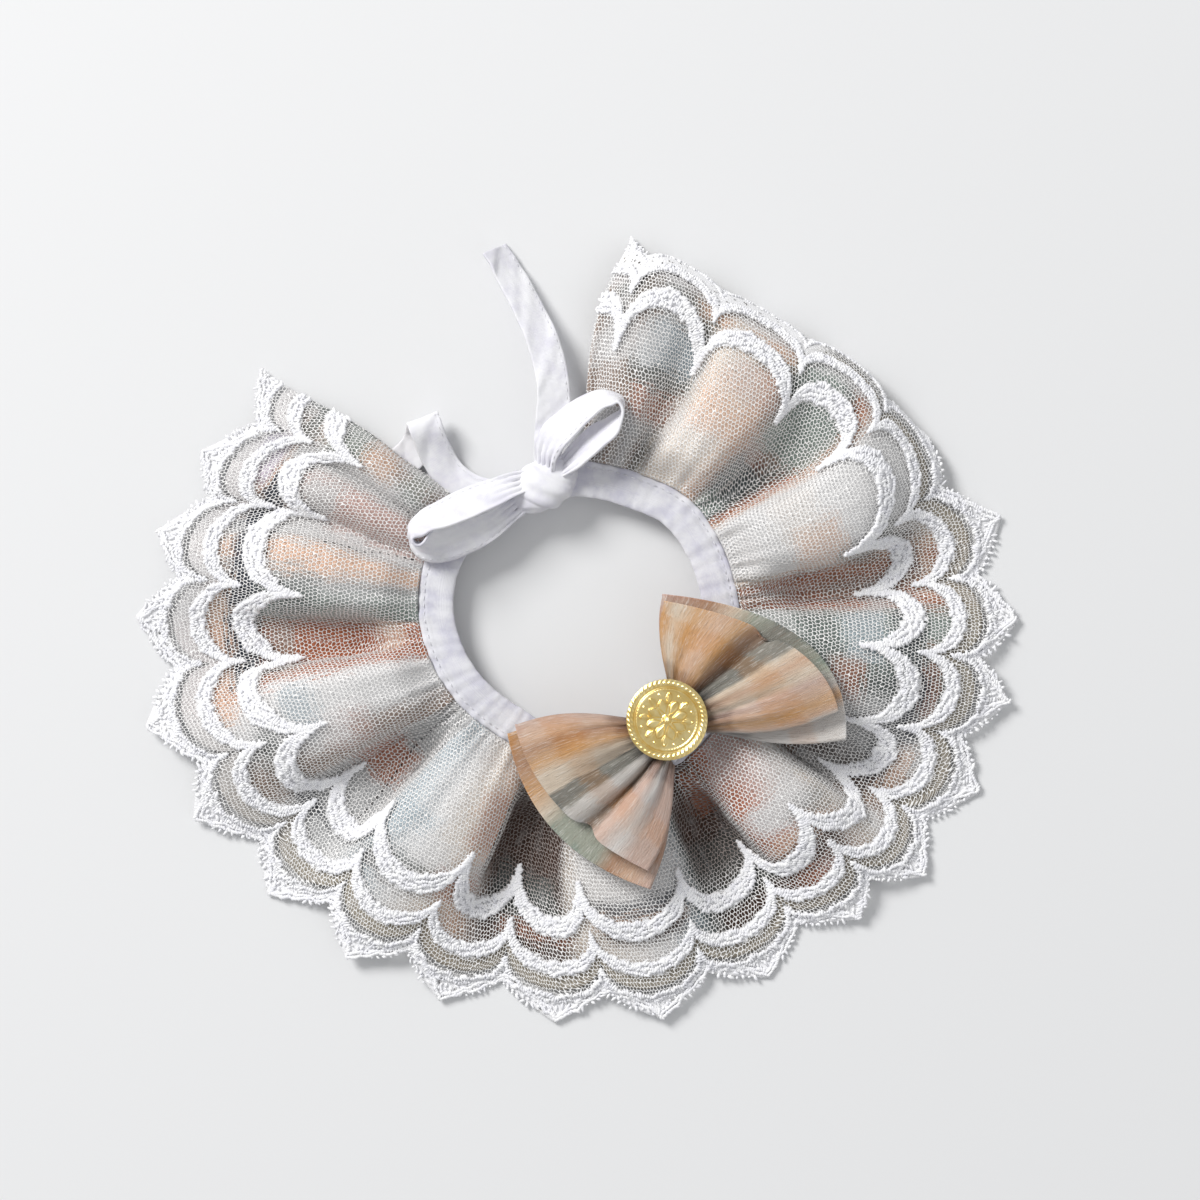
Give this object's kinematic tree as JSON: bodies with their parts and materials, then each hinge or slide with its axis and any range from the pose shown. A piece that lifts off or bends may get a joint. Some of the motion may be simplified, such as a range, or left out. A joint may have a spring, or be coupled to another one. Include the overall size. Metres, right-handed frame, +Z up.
{
  "type": "lace bow tie collar",
  "caption": "Gathered plaid ruffle collar under embroidered net lace, on a tape tied at the back, with a double bow and round metal button at the front, lying flat.",
  "frame": {"origin": "on the table under the middle of the collar's own box", "axes": "+Z up from the table; +Y from the middle towards the tied tape at the back of the neck; +X to the right seen from above"},
  "size_m": [0.267, 0.237, 0.0266],
  "materials": {
    "plaid_cotton": "matt brushed cotton, loose watercolour plaid of slate, peach, rust and white",
    "net_lace": "white net with matt embroidered scallops and a zigzag border",
    "white_tape": "white cotton bias tape, matt",
    "bow_plaid": "soft satin-faced plaid of ochre, peach, rust and slate",
    "gilt_metal": "pale polished gilt"
  },
  "bodies": {
    "root": {"neck_tape": "white_tape", "cloth_ruffle": "plaid_cotton", "lace_ruffle": "net_lace", "bow_back_right": "bow_plaid", "bow_back_left": "bow_plaid", "bow_front_right": "bow_plaid", "bow_front_left": "bow_plaid", "bow_centre": "white_tape", "button": "gilt_metal", "tie_tail_long": "white_tape", "tie_tail_short": "white_tape", "tie_loop_left": "white_tape", "tie_loop_right": "white_tape", "tie_knot": "white_tape"}
  },
  "joints": []
}
